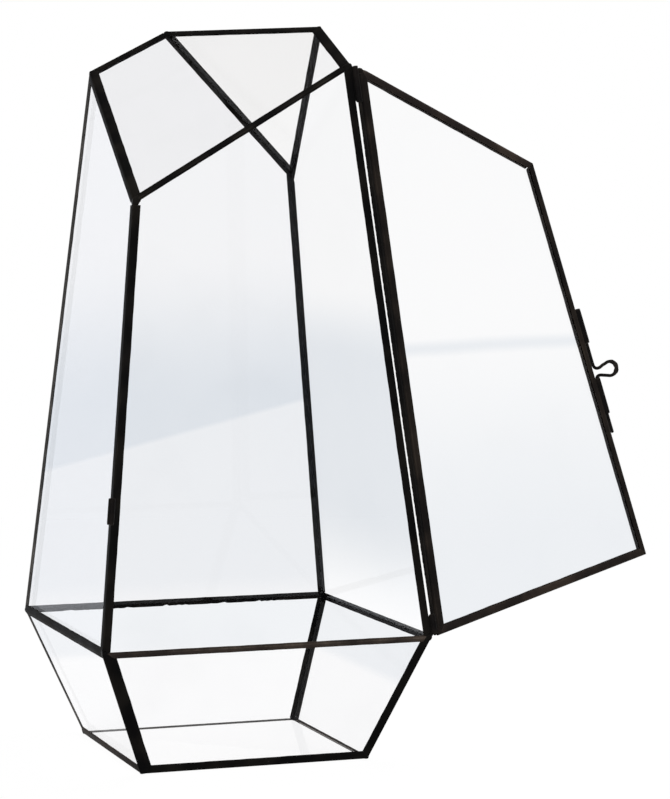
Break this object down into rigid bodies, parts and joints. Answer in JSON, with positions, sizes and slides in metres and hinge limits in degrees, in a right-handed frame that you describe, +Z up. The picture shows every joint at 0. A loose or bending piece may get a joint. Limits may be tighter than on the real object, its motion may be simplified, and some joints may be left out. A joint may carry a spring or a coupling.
{
  "type": "geometric glass terrarium with a hinged door",
  "caption": "Faceted clear-glass terrarium in a black metal strip frame, tapering from its waist to a slanted roof and a small base, with a framed door on a wire hinge and a sliding wire latch.",
  "frame": {"origin": "middle of the base, on the plane that the terrarium stands on", "axes": "+X to the right along the door side, +Y from the door side to the back, +Z up; the door stands open"},
  "size_m": [0.2574, 0.1387, 0.2986],
  "materials": {
    "clear_glass": "clear flat float glass, polished, faint smudges",
    "seam_strip": "black lacquered metal strip, satin, uneven by hand, worn grey on a few edges",
    "door_strip": "black-brown lacquered metal strip, satin",
    "small_tube": "black lacquered tube, satin, solder at its seat",
    "bent_wire": "black lacquered wire, semi-gloss, rubbed on the bends"
  },
  "bodies": {
    "body": {"pane_left": "clear_glass", "pane_right": "clear_glass", "pane_back": "clear_glass", "pane_roof": "clear_glass", "pane_rear_slope": "clear_glass", "pane_lower_front": "clear_glass", "pane_lower_right": "clear_glass", "pane_lower_back": "clear_glass", "pane_lower_left": "clear_glass", "pane_base": "clear_glass", "strip_upright_front_left": "seam_strip", "strip_upright_front_right": "seam_strip", "strip_upright_back_right": "seam_strip", "strip_upright_back_left": "seam_strip", "strip_waist_front": "seam_strip", "strip_waist_right": "seam_strip", "strip_waist_back": "seam_strip", "strip_waist_left": "seam_strip", "strip_lower_corner_front_left": "seam_strip", "strip_lower_corner_front_right": "seam_strip", "strip_lower_corner_back_right": "seam_strip", "strip_lower_corner_back_left": "seam_strip", "strip_base_front": "seam_strip", "strip_base_right": "seam_strip", "strip_base_back": "seam_strip", "strip_base_left": "seam_strip", "strip_roof_front": "seam_strip", "strip_roof_left": "seam_strip", "strip_roof_back": "seam_strip", "strip_roof_right": "seam_strip", "strip_ridge": "seam_strip", "strip_rear_slope_left": "seam_strip", "strip_rear_slope_right": "seam_strip", "hinge_tube_upper": "small_tube", "hinge_tube_lower": "small_tube", "latch_keeper": "small_tube"},
    "door": {"door_pane": "clear_glass", "door_strip_latch_side": "door_strip", "door_strip_top": "door_strip", "door_strip_hinge_side": "door_strip", "door_strip_bottom": "door_strip", "hinge_wire": "bent_wire", "latch_guide_upper": "small_tube", "latch_guide_lower": "small_tube"},
    "bolt": {"latch_bolt": "bent_wire"}
  },
  "joints": [
    {"name": "door_hinge", "type": "hinge", "parent": "body", "child": "door", "pos_m": [0.06899, -0.06952, 0.05203], "axis": [-0.1068, 0.1068, 0.9885], "range_deg": [-205.5, 45]},
    {"name": "bolt_slide", "type": "slide", "parent": "door", "child": "bolt", "axis": [-0.2949, 0.0113, 0.9555], "range_m": [0, 0.009]}
  ]
}
